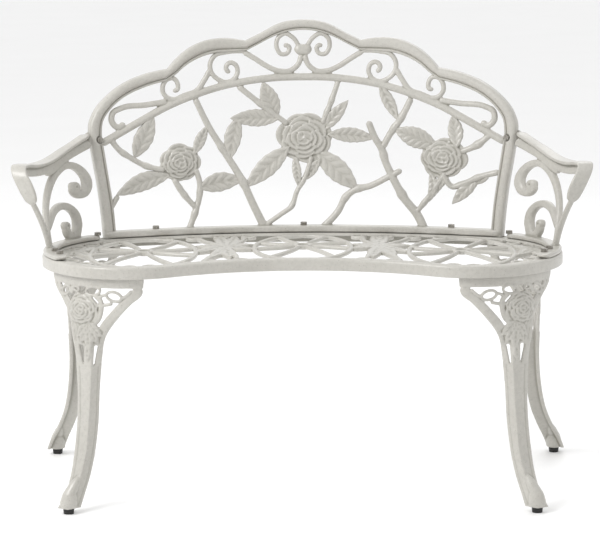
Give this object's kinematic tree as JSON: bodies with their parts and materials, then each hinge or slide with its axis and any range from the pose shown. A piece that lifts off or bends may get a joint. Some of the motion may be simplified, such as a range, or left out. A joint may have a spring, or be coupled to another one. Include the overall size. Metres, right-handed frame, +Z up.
{
  "type": "garden bench",
  "caption": "Cast metal garden bench: kidney-shaped openwork seat, curved rose-pattern backrest, scrolled arms and cabriole legs, bolted together on levelling feet.",
  "frame": {"origin": "on the floor, below the middle of the bench's outer box", "axes": "+X along the bench, to the right seen from the front; +Y to the back; +Z up"},
  "size_m": [0.997, 0.4982, 0.8],
  "materials": {
    "painted_casting": "semi-gloss powder coat on cast aluminium",
    "zinc_hardware": "dull zinc plate",
    "zinc_stud": "bright zinc plate",
    "black_nylon": "moulded nylon"
  },
  "bodies": {
    "bench": {"arm_left": "painted_casting", "arm_left_bolts": "zinc_hardware", "arm_left_nuts": "zinc_hardware", "arm_left_post_bolt": "zinc_hardware", "arm_left_post_nut": "zinc_hardware", "arm_left_post_washer": "zinc_hardware", "arm_left_washers": "zinc_hardware", "arm_right": "painted_casting", "arm_right_bolts": "zinc_hardware", "arm_right_nuts": "zinc_hardware", "arm_right_post_bolt": "zinc_hardware", "arm_right_post_nut": "zinc_hardware", "arm_right_post_washer": "zinc_hardware", "arm_right_washers": "zinc_hardware", "back_rail_bolts": "zinc_hardware", "back_rail_nuts": "zinc_hardware", "back_rail_washers": "zinc_hardware", "backrest": "painted_casting", "leg_front_left": "painted_casting", "leg_front_left_screws": "zinc_hardware", "leg_front_left_washers": "zinc_hardware", "leg_front_right": "painted_casting", "leg_front_right_screws": "zinc_hardware", "leg_front_right_washers": "zinc_hardware", "leg_rear_left": "painted_casting", "leg_rear_left_screws": "zinc_hardware", "leg_rear_left_washers": "zinc_hardware", "leg_rear_right": "painted_casting", "leg_rear_right_screws": "zinc_hardware", "leg_rear_right_washers": "zinc_hardware", "seat_panel": "painted_casting"},
    "foot_front_left": {"foot_pad_front_left": "black_nylon", "foot_stud_front_left": "zinc_stud"},
    "foot_front_right": {"foot_pad_front_right": "black_nylon", "foot_stud_front_right": "zinc_stud"},
    "foot_rear_left": {"foot_pad_rear_left": "black_nylon", "foot_stud_rear_left": "zinc_stud"},
    "foot_rear_right": {"foot_pad_rear_right": "black_nylon", "foot_stud_rear_right": "zinc_stud"}
  },
  "joints": [
    {"name": "level_front_left", "type": "slide", "parent": "bench", "child": "foot_front_left", "axis": [0, 0, -1], "range_m": [0, 0.007]},
    {"name": "level_front_right", "type": "slide", "parent": "bench", "child": "foot_front_right", "axis": [0, 0, -1], "range_m": [0, 0.007]},
    {"name": "level_rear_left", "type": "slide", "parent": "bench", "child": "foot_rear_left", "axis": [0, 0, -1], "range_m": [0, 0.007]},
    {"name": "level_rear_right", "type": "slide", "parent": "bench", "child": "foot_rear_right", "axis": [0, 0, -1], "range_m": [0, 0.007]}
  ]
}
